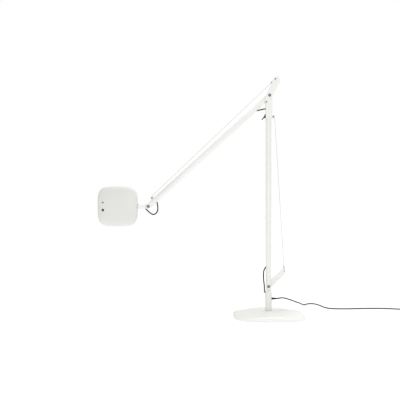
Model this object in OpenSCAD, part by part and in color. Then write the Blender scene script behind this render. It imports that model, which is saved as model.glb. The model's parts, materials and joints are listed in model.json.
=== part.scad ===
// Balanced-arm floor lamp, in millimetres.
// The origin is the centre of the base's underside. +Z is up, +X is to the right and the arms
// lie in the plane y = 0. The head reaches out along -X.

/* [Base] */
// Width and depth of the square base with bulging sides
base_w = 350; // [340:1:360]
// Height of the base at its centre
base_h = 30; // [29:0.5:32]
// Thickness of the lower ballast plate
weight_t = 11; // [9:0.5:11]

/* [Column] */
// Outer diameter of the column
column_d = 33; // [32:0.5:34]
// Height of the hole for the mains lead
cord_z = 90; // [86:1:92]
// Height of the lower pivot
foot_z = 151; // [150:0.5:153]
// Length of the fixed lever that holds the lower wire
lever_len = 103; // [101:1:104]

/* [Arms] */
// Outer diameter of both arm tubes
tube_d = 28; // [27.6:0.1:28.4]
// Wall thickness of both arm tubes
tube_wall = 1.5; // [1.2:0.1:1.5]
// Height of the elbow pivot
elbow_z = 1105; // [1095:1:1115]
// Distance between the elbow pivot and the head pivot
arm_len = 821; // [800:1:840]
// Angle of the upper arm below the horizontal
arm_drop = 42.5; // [41:0.5:44]

/* [Head] */
// Width of the head along the neck
head_w = 201; // [198:1:204]
// Height of the head across the neck
head_h = 200; // [198:1:204]
// Diameter of the dimmer button
button_d = 12.4; // [11.6:0.2:12.6]

/* [Cables] */
// Diameter of the mains lead and the leads between the castings
lead_d = 6; // [5.6:0.1:6]
// Diameter of the two steel wires
wire_d = 1.4; // [1:0.1:1.6]

/* [Hidden] */

$fn = 48;
run_gap = 0.05;                 // radial clearance of every running fit
face_gap = 0.3;                 // clearance between faces that turn past each other
white = "#ecece8";
head_white = "#dcdcda";
steel = "#a9abae";
dark = "#2b2b2d";

// Pivots and pins, as [x, z] in the plane of the arms
foot = [0, foot_z];
elbow = [5.5, elbow_z];
wrist = elbow + arm_len * [-cos(arm_drop), -sin(arm_drop)];
anchor = foot + [79, 77];
tip = elbow + [27.5, 81];
lever_pin = elbow + [-16.5, -34];
lever_angle = 65;

// Sections of the castings
bolt_r = 4;
half_w = 12.5;                  // half width of the castings next to a pivot
tongue_y = 5.5;                 // half thickness of a tongue
washer_y = 6.2;                 // outer face of the friction washers
slot_y = washer_y + 0.1;        // half width of a fork's slot
fork_y = 11.9;                  // outer face of the fork cheeks
cheek_y = 10;                   // outer face of the cheeks at the elbow
plate_y = 14;                   // outer face of the elbow lever's plates
plug_r = tube_d / 2 - tube_wall - 0.1;
bore_r = 9;
lead_r = lead_d / 2;
wire_r = wire_d / 2;

// Heights along the post
tube_z0 = 257;
tube_z1 = 985;
plug_len = 28;
crotch_z = 1018;

// Stations along the upper arm, measured from the elbow
root_x = 90;
end_x = arm_len - 65;

// Rollers: centre, pitch radius and width
roller_p = [23.5, 997.5];
roller_r = 7.5;
arm_roller_l = [-arm_len + 42, 18.8];     // in the upper arm's own frame
arm_roller_r = 7.1;
roller_y = 3.5;
axle_r = 2.5;

// Head
head_x = wrist[0] - 154;
head_z = wrist[1];
head_near = -28;                // crown of the shell
head_far = 17;                  // rim around the diffuser
shell_t = 2.2;
sensor_p = [head_x - 71, head_z + 19.5];
button_p = [head_x - 71, head_z - 18];
sensor_d = 8.4;
neck_x = wrist[0] - 15;
ring_x = wrist[0] - 45;
ring_t = 7.4;
ring_r = 14.5;
spigot_r = 8;

// Mains lead: its route from the gland to the coil
mains_route = [
    [17, 0, 90], [26, 0, 90], [35, 0, 90], [44, 0, 90.4], [54, 3, 91.6], [63, 10, 91.8], [69, 21, 90.7],
    [73, 34, 88.8], [77, 50, 86.4], [85, 70, 83], [98, 88, 79],
    [112, 104, 72], [126, 124, 66], [137, 144, 60], [148, 165, 54], [159, 187, 48], [169, 208, 42],
    [182, 240, 35], [194, 274, 27], [206, 306, 19], [219, 337, 11], [231, 364, 5], [243, 389, 3.3],
    [256, 408, 3.2], [272, 418, 3.2], [288, 416, 3.2], [300, 403, 3.2], [309, 382, 3.2],
    [315, 355, 3.2], [321, 325, 3.2], [327, 295, 3.2], [337, 265, 3.2], [354, 244, 3.2],
    [380, 234, 3.2], [420, 230, 3.2], [470, 234, 3.2], [530, 242, 3.2], [590, 246, 3.2],
    [640, 242, 3.2], [690, 228, 3.2], [730, 213, 3.2], [766, 204, 3.2], [803, 201.6, 3.2],
];
coil_p = [803, 245];            // centre of the coil on the floor
coil_mid = 34;                  // radius at the middle of the turns
coil_half = 12.8;               // half width of the wound ring
coil_h = 13;
plug_p = [873, 201.6];          // centre of the plug's body
plug_len_x = 36;
plug_w = 26;
plug_t = 13.6;
sleeve_len = 22;                // strain relief on the plug

// Leads between the castings, as [x, z] in the plane of the arms
foot_loop_route = [
    [-6, 256], [-11.5, 248.5], [-17, 241], [-22, 231], [-24, 218], [-24.5, 203], [-24, 185],
    [-22, 168], [-20.5, 152], [-20, 138], [-20, 127], [-16.5, 120], [-12, 114.5], [-7.5, 109],
];
elbow_loop_route = [
    [-66, 1029.5], [-54.5, 1030], [-42, 1032.5], [-30, 1035.5], [-20, 1037.5], [-12, 1038],
    [-6, 1035], [-2, 1028], [0, 1019],
];
head_loop_route = [
    [-562, 582], [-557, 571], [-554.5, 558], [-553, 546], [-553, 535], [-556, 524.5],
    [-562, 516], [-571, 511], [-580, 511], [-589, 516.5], [-597, 522.5], [-604.5, 530],
    [-612, 537], [-619, 543],
];
lead_offset = -9.3;             // distance of the inner leads from the tubes' axes

// ---- helpers ----

// Distance from the centre to a unit square with bulging sides, x^4 + y^4 = 1
function bulge(q) = pow(pow(cos(q), 4) + pow(sin(q), 4), -0.25);

// Outline of such a square with half widths a and b
function squircle(a, b, n) = [
    for (k = [0 : n - 1]) let(q = 360 * k / n) bulge(q) * [a * cos(q), b * sin(q)]];

// A closed solid through rings of points, listed from the top ring down
module loft(rings) {
    n = len(rings[0]);
    m = len(rings);
    sides = [for (i = [0 : m - 2], k = [0 : n - 1]) let(a = i * n + k, b = i * n + (k + 1) % n)
        each [[a, b, b + n], [a, b + n, a + n]]];
    top = [for (k = [n - 1 : -1 : 0]) k];
    bottom = [for (k = [0 : n - 1]) (m - 1) * n + k];
    polyhedron(points = [for (r = rings) each r], faces = concat([top], sides, [bottom]));
}

// A tube of radius r along a route; ref is a direction the route never points in
module tube_along(route, r, sides, ref) {
    n = len(route);
    rings = [for (i = [n - 1 : -1 : 0]) let(
        ahead = route[min(i + 1, n - 1)] - route[max(i - 1, 0)],
        t = ahead / norm(ahead),
        a = cross(ref, t) / norm(cross(ref, t)),
        b = cross(t, a))
        [for (k = [0 : sides - 1]) let(q = 360 * k / sides) route[i] + r * (cos(q) * a + sin(q) * b)]];
    loft(rings);
}

// A smooth route through points, with one extra point in the middle of each stretch
function smooth(p) = concat([for (i = [0 : len(p) - 2]) let(
    a = p[max(i - 1, 0)], b = p[i], c = p[i + 1], d = p[min(i + 2, len(p) - 1)])
    each [b, (9 * (b + c) - (a + d)) / 16]], [p[len(p) - 1]]);

function in_plane(route) = [for (p = route) [p[0], 0, p[1]]];

// A round bar along Y through a point of the arms' plane
module bar_y(p, r, y0, y1) {
    translate([p[0], y1, p[1]]) rotate([90, 0, 0]) cylinder(r = r, h = y1 - y0);
}

// Hole for a lead, along the line from p inside a casting to q and on past it
module lead_hole(p, q, past) {
    d = q - p;
    translate([p[0], 0, p[1]]) rotate([0, atan2(d[0], d[1]), 0]) translate([0, 0, -2])
        cylinder(r = lead_r + 0.5, h = norm(d) + past + 2);
}

// A flat shape in the arms' plane, given thickness along Y
module slab(y0, y1) {
    translate([0, y1, 0]) rotate([90, 0, 0]) linear_extrude(y1 - y0) children();
}

// A round bar along X, from x0 to x1
module bar_x(x0, x1, r, z = 0) {
    translate([x0, 0, z]) rotate([0, 90, 0]) cylinder(r = r, h = x1 - x0);
}

// The upper arm's own frame: the elbow at the origin, -X towards the head, +Z on the wire's side
module on_arm() {
    translate([elbow[0], 0, elbow[1]]) rotate([0, -arm_drop, 0]) children();
}

// The elbow lever's own frame: +X up along the lever, +Z on the wire's side
module on_lever() {
    translate([elbow[0], 0, elbow[1]]) rotate([0, -lever_angle, 0]) children();
}

// Button-head bolt along Y with a hexagon socket in the near face
module pivot_bolt(p, y0, y1, head_r = 7.4, head_t = 3.2, key = 5) {
    difference() {
        union() {
            bar_y(p, bolt_r, y0, y1);
            translate([p[0], y0, p[1]]) rotate([90, 0, 0]) cylinder(r = head_r, h = head_t * 0.5);
            translate([p[0], y0 - head_t * 0.5, p[1]]) rotate([90, 0, 0])
                cylinder(r1 = head_r, r2 = head_r * 0.72, h = head_t * 0.5);
        }
        translate([p[0], y0 - head_t * 0.4, p[1]]) rotate([90, 0, 0])
            cylinder(d = key / cos(30), h = head_t, $fn = 6);
    }
}

// Domed cap nut on the far side, around the end of a bolt
module cap_nut(p, y0, r = 7.4, t = 6) {
    difference() {
        union() {
            translate([p[0], y0 + t * 0.6, p[1]]) rotate([90, 0, 0]) cylinder(r = r, h = t * 0.6);
            translate([p[0], y0 + t * 0.6, p[1]]) rotate([-90, 0, 0])
                cylinder(r1 = r, r2 = r * 0.7, h = t * 0.4);
        }
        bar_y(p, bolt_r + 0.02, y0 - 1, y0 + t * 0.6);
    }
}

// A pair of washers, one on each side of a tongue
module washer_pair(p, r) {
    for (s = [-1, 1]) difference() {
        bar_y(p, r, s > 0 ? tongue_y : -washer_y, s > 0 ? washer_y : -tongue_y);
        bar_y(p, bolt_r + run_gap, -washer_y - 1, washer_y + 1);
    }
}

// ---- base ----

// Height of the base's top surface over the point q, before its edge is rounded
function crown(q) = base_h - 6 * pow(norm(q) / 175, 2) - 7.5 * pow(abs(q[0] * q[1]) / 15312, 1.5);

// Share of the crown's height left at a share rho of the way to the edge
function edge_fall(rho) = let(t = max(0, (rho - 0.88) / 0.12)) pow(max(0, 1 - pow(t, 2.2)), 1 / 2.2);

// Rings of the base's surface from its top to its lip, inset all round
base_shares = [0.06, 0.3, 0.55, 0.75, 0.88, 0.91, 0.94, 0.965, 0.985, 0.997, 1];
function base_rings(inset, lip_z) = let(a = base_w / 2 - inset) [
    for (rho = base_shares) [for (p = squircle(a, a, 64)) let(q = rho * p)
        [q[0], q[1], lip_z + (crown(q) - inset - lip_z) * edge_fall(rho)]]];

// The flat ring at the base's lower edge
function base_lip(inset, z) = let(a = base_w / 2 - inset) [for (p = squircle(a, a, 64)) [p[0], p[1], z]];

function reversed(list) = [for (i = [len(list) - 1 : -1 : 0]) list[i]];

screw_p = 95;

module at_base_screws() {
    for (x = [-screw_p, screw_p], y = [-screw_p, screw_p]) translate([x, y, 0]) children();
}

module base_cover() color(white) {
    difference() {
        union() {
            loft(concat(base_rings(0, 6), [base_lip(1, 2), base_lip(4, 2)],
                reversed(base_rings(2.5, 4))));
            at_base_screws() translate([0, 0, 14.1]) cylinder(r = 6, h = 7.2);
        }
        cylinder(r = 8.6, h = 60);
        at_base_screws() cylinder(r = 2.6, h = 19.4);
    }
}

module base_weight() color("#6b6d70") {
    difference() {
        union() {
            translate([0, 0, 3]) linear_extrude(weight_t) polygon(squircle(145, 145, 64));
            translate([0, 0, 3]) cylinder(r = 95, h = weight_t + 8, $fn = 96);
        }
        translate([0, 0, -1]) cylinder(r = 8.02, h = 40);
        translate([0, 0, 2]) cylinder(r = 15.1, h = 5.1);
        at_base_screws() cylinder(r = 3, h = 40);
        at_base_screws() translate([0, 0, 2]) cylinder(r = 5.2, h = 4.1);
    }
}

module base_pad() color(dark) {
    difference() {
        linear_extrude(3) polygon(squircle(166, 166, 64));
        translate([0, 0, 2.4]) linear_extrude(1) polygon(squircle(20, 20, 32));
    }
}

module base_screws() color(steel) {
    at_base_screws() {
        translate([0, 0, 3.1]) cylinder(r = 4.9, h = 2.9);
        translate([0, 0, 3.1]) cylinder(r = 2.5, h = 16);
    }
}

module swivel_spindle() color(steel) {
    translate([0, 0, 3]) cylinder(r = 15, h = 4);
    translate([0, 0, 3]) cylinder(r = spigot_r, h = 69);
    translate([0, 0, 72]) cylinder(r1 = spigot_r, r2 = spigot_r - 2, h = 3);
}

module thrust_washer() color(dark) {
    translate([0, 0, base_h]) difference() {
        cylinder(r = column_d / 2 - 0.5, h = 1.4);
        translate([0, 0, -1]) cylinder(r = spigot_r + 0.1, h = 4);
    }
}

// ---- column ----

column_z0 = base_h + 1.45;
column_z1 = 106;

module column_tube() color(white) {
    difference() {
        translate([0, 0, column_z0]) cylinder(d = column_d, h = column_z1 - column_z0);
        translate([0, 0, column_z0 - 1]) cylinder(r = 13.5, h = 100);
        bar_x(0, 30, 4.6, cord_z);
    }
}

module swivel_bushes() color("#d8d4c8") {
    for (z = [column_z0 + 1, 58]) translate([0, 0, z]) difference() {
        cylinder(r = 13.5, h = 13);
        translate([0, 0, -1]) cylinder(r = spigot_r + run_gap, h = 20);
    }
}

module column_head() color(white) {
    difference() {
        union() {
            translate([0, 0, column_z1]) cylinder(d = column_d, h = 12);
            translate([0, 0, column_z1 - 9]) cylinder(r = 13.45, h = 10);
            hull() {
                translate([0, 0, column_z1 + 12]) cylinder(d = column_d, h = 0.1, $fn = 32);
                translate([-half_w, -tongue_y, foot_z - 15.2]) cube([2 * half_w, 2 * tongue_y, 0.2]);
            }
            slab(-tongue_y, tongue_y) {
                translate([-half_w, foot_z - 15.1]) square([2 * half_w, 15.1]);
                translate(foot) circle(r = half_w);
                translate(foot) rotate(45)
                    polygon([[0, -14], [0, 14], [lever_len, 12.5], [lever_len, -12.5]]);
                translate(foot) rotate(45) translate([lever_len, 0]) circle(r = 12.5);
            }
        }
        translate([0, 0, column_z1 - 10]) cylinder(r = bore_r, h = 20);
        lead_hole(foot_loop_route[13], foot_loop_route[12], 12);
        bar_y(foot, bolt_r + run_gap, -20, 20);
        bar_y(anchor, axle_r + 0.01, -20, 20);
        bar_y(anchor, 18, -roller_y - 0.2, roller_y + 0.2);
    }
}

module foot_washers() color(dark) washer_pair(foot, 11.5);

module anchor_pin() color(steel) bar_y(anchor, axle_r, -tongue_y - 0.6, tongue_y + 0.6);

module cord_gland() color(dark) {
    difference() {
        union() {
            bar_x(12.4, 17.5, 4.5, cord_z);
            bar_x(16.6, 19, 6, cord_z);
            translate([18.9, 0, cord_z]) rotate([0, 90, 0]) cylinder(r1 = 5.1, r2 = 3.7, h = 20);
        }
        bar_x(0, 60, lead_r + 0.1, cord_z);
    }
}

module column_lead() color(dark) {
    route = [[16.4, 90], [6, 90], [0, 92], [-2.5, 97], [-4.6, 105.4], [-7.1, 108.5]];
    tube_along(in_plane(route), 2.4, 10, [0, 1, 0]);
}

module mains_cord() color(dark) tube_along(smooth(mains_route), lead_r, 8, [0, 0, 1]);

// The wound ring, with the lead's end running out of it to the plug
module cord_coil() color(dark) {
    translate([coil_p[0], coil_p[1], 0]) difference() {
        cylinder(r = coil_mid + coil_half, h = coil_h);
        translate([0, 0, -1]) cylinder(r = coil_mid - coil_half, h = coil_h + 2);
    }
    translate([0, plug_p[1], 0])
        bar_x(coil_p[0], plug_p[0] - plug_len_x / 2 - sleeve_len, lead_r, plug_t / 2);
}

// Two-pin plug lying flat, its pins towards +X
module plug_body() color(dark) {
    translate([plug_p[0], plug_p[1], 0]) {
        translate([-plug_len_x / 2, -plug_w / 2, 0]) cube([plug_len_x, plug_w, plug_t]);
        translate([-plug_len_x / 2 - sleeve_len, 0, plug_t / 2]) rotate([0, 90, 0])
            cylinder(r1 = 3.7, r2 = 5.4, h = sleeve_len);
    }
}

module plug_pins() color(steel) {
    for (s = [-1, 1]) translate([plug_p[0] + plug_len_x / 2, plug_p[1] + s * 9, plug_t / 2])
        rotate([0, 90, 0]) cylinder(r = 2, h = 19);
}

// An eye on a pin with a sleeve that grips the wire, pointing along angle a from +X
module ferrule(p, a) {
    difference() {
        union() {
            bar_y(p, 5, -3, 3);
            translate([p[0], 0, p[1]]) rotate([0, 90 - a, 0]) translate([0, 0, 3])
                cylinder(r = 3, h = 24);
        }
        bar_y(p, axle_r + run_gap, -4, 4);
        translate([p[0], 0, p[1]]) rotate([0, 90 - a, 0]) translate([0, 0, 12])
            cylinder(r = wire_r + 0.02, h = 30);
    }
}

// Point at a distance along a direction in the arms' plane
function along(p, a, d) = p + d * [cos(a), sin(a)];

// The lower wire leaves the roller on its right side
lower_mid = roller_p + [roller_r, 0];
lower_angle = atan2(lower_mid[1] - anchor[1], lower_mid[0] - anchor[0]);

module lower_ferrule() color(steel) ferrule(anchor, lower_angle);

// ---- post ----

module post_foot() color(white) {
    difference() {
        union() {
            intersection() {
                translate([0, 0, foot_z]) cylinder(d = tube_d, h = tube_z0 + 4 - foot_z);
                translate([-half_w, -fork_y, foot_z])
                    cube([2 * half_w, 2 * fork_y, tube_z0 - foot_z - 0.02]);
            }
            bar_y(foot, half_w, -fork_y, fork_y);
            translate([0, 0, tube_z0 - 1]) cylinder(r = plug_r, h = plug_len);
        }
        translate([-30, -slot_y, foot_z - 30]) cube([60, 2 * slot_y, tube_z0 - 5 - foot_z + 30]);
        translate([0, 0, tube_z0 - 20]) cylinder(r = bore_r - 1, h = 60);
        bar_y(foot, bolt_r + 0.02, -20, 20);
        lead_hole(foot_loop_route[0], foot_loop_route[1], 8);
    }
}

module post_tube() color(white) {
    translate([0, 0, tube_z0]) difference() {
        cylinder(d = tube_d, h = tube_z1 - tube_z0);
        translate([0, 0, -1]) cylinder(r = tube_d / 2 - tube_wall, h = 800);
        translate([0, 0, 100]) rotate([90, 0, 0]) cylinder(r = 2.02, h = 60, center = true);
    }
}

module post_head() color(white) {
    difference() {
        union() {
            translate([0, 0, tube_z1 - plug_len]) cylinder(r = plug_r, h = plug_len + 1);
            translate([0, 0, tube_z1 + 0.02]) cylinder(d = tube_d, h = 9);
            slab(-cheek_y, cheek_y) {
                polygon([[-14, tube_z1 + 5], [14, tube_z1 + 5], [19.5, 1014], [19.5, elbow_z],
                    [elbow[0] - 14, elbow_z], lever_pin + [-6, 0], [-14, elbow_z - 50]]);
                translate(elbow) circle(r = 14);
                translate(lever_pin) circle(r = 7);
                translate(roller_p) circle(r = 8.8);
            }
        }
        translate([-40, -slot_y, crotch_z]) cube([80, 2 * slot_y, 150]);
        translate([0, 0, tube_z1 - 60]) cylinder(r = bore_r, h = 100);
        bar_y(roller_p, 11, -roller_y - face_gap, roller_y + face_gap);
        translate([0, -2, tube_z1 - 20]) cube([16, 4, 34]);
        bar_y(elbow, bolt_r + 0.02, -20, 20);
        bar_y(lever_pin, axle_r + 0.01, -20, 20);
        bar_y(roller_p, axle_r + 0.01, -20, 20);
    }
}

module elbow_lever() color(white) {
    on_lever() difference() {
        union() {
            for (y = [-plate_y, cheek_y + 0.02]) slab(y, y + plate_y - cheek_y - 0.02) {
                polygon([[-38, -8], [0, -15], [55, -16.5], [88, -17], [105, 3.2], [93, 14.5],
                    [83, 16.6], [0, 15], [-38, 8]]);
                translate([-38, 0]) circle(r = 8);
            }
            slab(-plate_y, plate_y) polygon([[34, -16], [86, -17], [84, -13], [34, -12]]);
        }
        bar_y([0, 0], bolt_r + 0.02, -20, 20);
        bar_y(in_lever(lever_pin), axle_r + 0.01, -20, 20);
        bar_y(in_lever(tip), axle_r + 0.01, -20, 20);
    }
}

// A point of the arms' plane in the lever's own frame
function in_lever(p) = let(d = p - elbow) [
    d[0] * cos(lever_angle) + d[1] * sin(lever_angle),
    -d[0] * sin(lever_angle) + d[1] * cos(lever_angle)];

module lever_pins() color(steel) {
    bar_y(lever_pin, axle_r, -plate_y - 0.5, -slot_y - 0.1);
    bar_y(lever_pin, 4, -plate_y - 1.7, -plate_y);
    bar_y(lever_pin, axle_r, slot_y + 0.1, plate_y + 0.5);
    bar_y(lever_pin, 4, plate_y, plate_y + 1.7);
}

module tip_pin() color(steel) {
    bar_y(tip, axle_r, -plate_y - 0.5, plate_y + 0.5);
    bar_y(tip, 3.8, -plate_y - 1.5, -plate_y);
    bar_y(tip, 3.8, plate_y, plate_y + 1.5);
}

module foot_bolt() color(steel) pivot_bolt(foot, -fork_y, fork_y + 2.6);
module foot_nut() color(steel) cap_nut(foot, fork_y);
module elbow_bolt() color(steel) pivot_bolt(elbow, -plate_y, plate_y + 3);
module elbow_nut() color(steel) cap_nut(elbow, plate_y);

module post_roller_axle() color(steel) {
    bar_y(roller_p, axle_r, -cheek_y - 0.5, cheek_y + 0.5);
    bar_y(roller_p, 4.5, -cheek_y - 1.8, -cheek_y);
    bar_y(roller_p, 4.5, cheek_y, cheek_y + 1.8);
}

spring_r = 6.4;
spring_top = 950;
pin_z = tube_z0 + 100;

// Close-wound spring of a given length along Z, with an eye of wire at both ends
module spring_body(length) {
    difference() {
        cylinder(r = spring_r, h = length);
        translate([0, 0, 1]) cylinder(r = spring_r - 1.6, h = length - 2);
    }
    for (z = [-9, length - 1]) translate([-0.8, -0.8, z]) cube([1.6, 1.6, 10]);
}

module post_spring() color(steel) translate([0, 0, pin_z + 11.1]) spring_body(spring_top - pin_z - 20);
module post_spring_pin() color(steel) translate([0, 0, pin_z]) rotate([90, 0, 0])
    cylinder(r = 2, h = tube_d - 0.4, center = true);

module post_lead() color(dark) {
    route = [
        [0, 1017.4], [0, 1012], [-3, 1004], [-5.5, 996], [-6.4, 985], [-6.4, 958],
        [lead_offset - 0.2, 944],
        [lead_offset - 0.2, 300], [-5.4, 285], [-4.5, 268], [-3.3, 259.7], [-5.6, 256.6],
    ];
    tube_along(in_plane(route), 2.2, 8, [0, 1, 0]);
}

// Rubber stop for the folded arm
module elbow_bumper() color("#161617") {
    slab(-5, 5) polygon([[-14, 1013], [-14, 991], [-17, 992], [-19.5, 994], [-30, 983.5], [-32, 983.5],
        [-33.2, 986], [-22, 1000], [-18, 1010]]);
}

module foot_loop() color(dark) tube_along(smooth(in_plane(foot_loop_route)), lead_r, 8, [0, 1, 0]);

// The wire from its ferrule, round the roller and down to the spring
function arc(c, r, a0, a1, n) = [for (k = [0 : n]) let(a = a0 + (a1 - a0) * k / n) along(c, a, r)];

module lower_wire() color(steel) {
    start = along(anchor, lower_angle, 14);
    turn = arc(roller_p, roller_r, 0, 165, 8);
    tube_along(in_plane(concat([start], turn, [[0.4, spring_top - 0.5]])), wire_r, 8, [0, 1, 0]);
}

// Grooved roller on an axle along Y
module roller(p, pitch) {
    difference() {
        union() {
            bar_y(p, pitch - 1.05, -roller_y, roller_y);
            bar_y(p, pitch + 1.1, -roller_y, -1.3);
            bar_y(p, pitch + 1.1, 1.3, roller_y);
        }
        bar_y(p, axle_r + run_gap, -10, 10);
        translate([p[0] + (pitch + axle_r) / 2 - 0.3, -5, p[1] - 0.5]) cube([1, 10, 1]);
    }
}

module post_roller() color("#d8d4c8") roller(roller_p, roller_r);

// ---- upper arm ----

// The upper wire's end point above the arm's roller, in the arm's own frame
function in_arm(p) = let(d = p - elbow) [
    d[0] * cos(arm_drop) + d[1] * sin(arm_drop),
    -d[0] * sin(arm_drop) + d[1] * cos(arm_drop)];
tip_a = in_arm(tip);
upper_end = arm_roller_l + [0, arm_roller_r];
upper_angle = atan2(upper_end[1] - tip_a[1], upper_end[0] - tip_a[0]);

module upper_ferrule() color(steel) ferrule(tip, upper_angle + arm_drop);

module arm_root() color(white) on_arm() {
    difference() {
        union() {
            slab(-tongue_y, tongue_y) {
                translate([-root_x + 10, -half_w]) square([root_x - 10, 2 * half_w]);
                circle(r = half_w);
            }
            bar_x(-root_x - plug_len, -root_x + 1, plug_r);
            hull() {
                bar_x(-root_x + 0.02, -root_x + 3, tube_d / 2, $fn = 32);
                translate([-root_x + 15, -tongue_y, -half_w]) cube([5, 2 * tongue_y, 2 * half_w]);
            }
        }
        bar_y([0, 0], bolt_r + run_gap, -20, 20);
        bar_x(-root_x - 60, -root_x - 2, bore_r);
        loop_exit();
    }
}

// Hole through which the lead leaves the arm's underside near the elbow
module loop_exit() {
    translate([-102, 0, -9]) rotate([0, 90 + 39, 0]) translate([0, 0, -5])
        cylinder(r = lead_r + 0.7, h = 26);
}

module arm_tube() color(white) on_arm() {
    difference() {
        bar_x(-end_x, -root_x, tube_d / 2);
        bar_x(-end_x - 1, -root_x + 1, tube_d / 2 - tube_wall);
        loop_exit();
        translate([-end_x + 560, 0, 0]) rotate([90, 0, 0]) cylinder(r = 2.02, h = 60, center = true);
    }
}

module arm_end() color(white) difference() {
    on_arm() difference() {
        union() {
            bar_x(-end_x - 1, -end_x + plug_len, plug_r);
            bar_x(-end_x - 6, -end_x - 0.02, tube_d / 2);
            intersection() {
                bar_x(-arm_len, -end_x - 5, tube_d / 2);
                translate([-arm_len, -fork_y, -half_w])
                    cube([arm_len - end_x - 5, 2 * fork_y, 2 * half_w]);
            }
            bar_y([-arm_len, 0], half_w, -fork_y, fork_y);
            slab(-8, 8) {
                polygon([[-end_x - 5, 8], [-end_x - 5, 13], arm_roller_l + [6, 6], arm_roller_l + [-6, 6],
                    [-arm_len + 26, 12], [-arm_len + 26, 8]]);
                translate(arm_roller_l) circle(r = 8);
            }
        }
        translate([-arm_len - 20, -slot_y, -30]) cube([20 + 30, 2 * slot_y, 60]);
        bar_x(-end_x - 24, -end_x + 60, bore_r);
        bar_y(arm_roller_l, 10.4, -roller_y - face_gap, roller_y + face_gap);
        bar_y([-arm_len, 0], bolt_r + 0.02, -20, 20);
        bar_y(arm_roller_l, axle_r + 0.01, -20, 20);
        translate([arm_roller_l[0] - 2, -1.5, 5]) cube([24, 3, 8]);
    }
    lead_hole(head_loop_route[0], head_loop_route[1], 6);
}

module elbow_washers() color(dark) on_arm() washer_pair([0, 0], 11.5);

module arm_spring() color(steel) on_arm()
    translate([-end_x + 560 - 11.1, 0, 0]) rotate([0, -90, 0]) spring_body(480);

module arm_spring_pin() color(steel) on_arm()
    translate([-end_x + 560, 0, 0]) rotate([90, 0, 0]) cylinder(r = 2, h = tube_d - 0.4, center = true);

module arm_lead() color(dark) on_arm() {
    route = [
        [-110, lead_offset + 2.4], [-116, -6.2], [-130, lead_offset], [-715, lead_offset],
        [-730, -6.4], [-768, -6.2],
    ];
    tube_along(in_plane(route), 2.2, 8, [0, 1, 0]);
}

module arm_roller_axle() color(steel) on_arm() {
    bar_y(arm_roller_l, axle_r, -8.5, 8.5);
    bar_y(arm_roller_l, 4.2, -9.8, -8);
    bar_y(arm_roller_l, 4.2, 8, 9.8);
}

module head_bolt() color(steel) on_arm() pivot_bolt([-arm_len, 0], -fork_y, fork_y + 2.6);
module head_nut() color(steel) on_arm() cap_nut([-arm_len, 0], fork_y);

module elbow_loop() color(dark) tube_along(smooth(in_plane(elbow_loop_route)), lead_r, 8, [0, 1, 0]);

module upper_wire() color(steel) on_arm() {
    start = along(tip_a, upper_angle, 14);
    inner = [-end_x + 560 - 11.1 - 480 - 8.6, 0];
    turn = arc(arm_roller_l, arm_roller_r, 90, 262, 8);
    tube_along(in_plane(concat([start], turn, [[-757, 6], inner])), wire_r, 8, [0, 1, 0]);
}

module arm_roller() color("#d8d4c8") on_arm() roller(arm_roller_l, arm_roller_r);

// ---- neck ----

module neck() color(white) {
    difference() {
        union() {
            bar_y(wrist, half_w - 0.5, -tongue_y, tongue_y);
            translate([wrist[0] - 17, -tongue_y, wrist[1] - 12]) cube([17, 2 * tongue_y, 24]);
            bar_x(ring_x, neck_x, half_w, wrist[1]);
            bar_x(ring_x - ring_t, ring_x + 0.1, ring_r, wrist[1]);
            bar_x(ring_x - ring_t - 20, ring_x - ring_t + 0.1, spigot_r, wrist[1]);
        }
        bar_y(wrist, bolt_r + run_gap, -20, 20);
        bar_x(ring_x - ring_t - 30, neck_x - 5, 5, wrist[1]);
        lead_hole(head_loop_route[13], head_loop_route[12], 8);
    }
}

module head_washers() color(dark) washer_pair(wrist, 11);

module head_loop() color(dark) tube_along(smooth(in_plane(head_loop_route)), lead_r, 8, [0, 1, 0]);

// ---- head ----

// Outline of the shell at each depth: [y, share of the full width]
shell_stations = [
    [head_near, 0.3], [-27, 0.5], [-24.9, 0.66], [-22.2, 0.78], [-18.6, 0.87],
    [-13.8, 0.94], [-7.5, 0.985], [0, 1], [11, 0.985], [head_far, 0.955],
];

// A ring of points round the head at depth y, at a share of its full width, less inset
function head_ring(y, share, inset) = [
    for (p = squircle(share * head_w / 2 - inset, share * head_h / 2 - inset, 40))
        [head_x + p[0], y, head_z + p[1]]];

// Rings of the shell's surface from its crown to its rim, inset all round
function shell_rings(inset) = [
    for (s = shell_stations) head_ring(min(s[0] + inset, head_far), s[1], inset)];

module head_shell() color(head_white) {
    difference() {
        loft(concat(shell_rings(0), reversed(shell_rings(shell_t))));
        bar_x(head_x + head_w / 2 - 6, head_x + head_w / 2 + 4, spigot_r + 0.6, head_z);
        bar_y(button_p, 6.6, -40, 0);
        bar_y(sensor_p, sensor_d / 2 + 0.05, -40, 0);
    }
}

module diffuser() color("#f6f4ee") {
    slab(11.5, 15.4) translate([head_x, head_z]) polygon(squircle(0.46 * head_w, 0.46 * head_h, 56));
    slab(15.4, head_far) translate([head_x, head_z]) polygon(squircle(0.45 * head_w, 0.45 * head_h, 56));
}

module led_board() color("#e9e9e2") {
    slab(6.3, 7.9) translate([head_x, head_z]) polygon(squircle(78, 78, 56));
}

// Aluminium plate with the block that holds the head's swivel
module heat_spreader() color(steel) {
    difference() {
        union() {
            slab(3.8, 6.2) translate([head_x, head_z]) polygon(squircle(90, 90, 56));
            translate([head_x + 66, -12, head_z - 15]) cube([24, 16, 30]);
        }
        bar_x(head_x + 60, head_x + 100, spigot_r + run_gap, head_z);
    }
}

module driver_board() color("#3f6b4a") {
    translate([head_x - 82, -8, head_z - 32]) cube([130, 1.6, 64]);
    for (p = [[-30, -14], [0, 10], [26, -12]])
        translate([head_x + p[0] - 9, -17, head_z + p[1] - 9]) cube([18, 9, 18]);
    translate([button_p[0] - 4, -16.6, button_p[1] - 4]) cube([8, 8.6, 8]);
}

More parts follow.
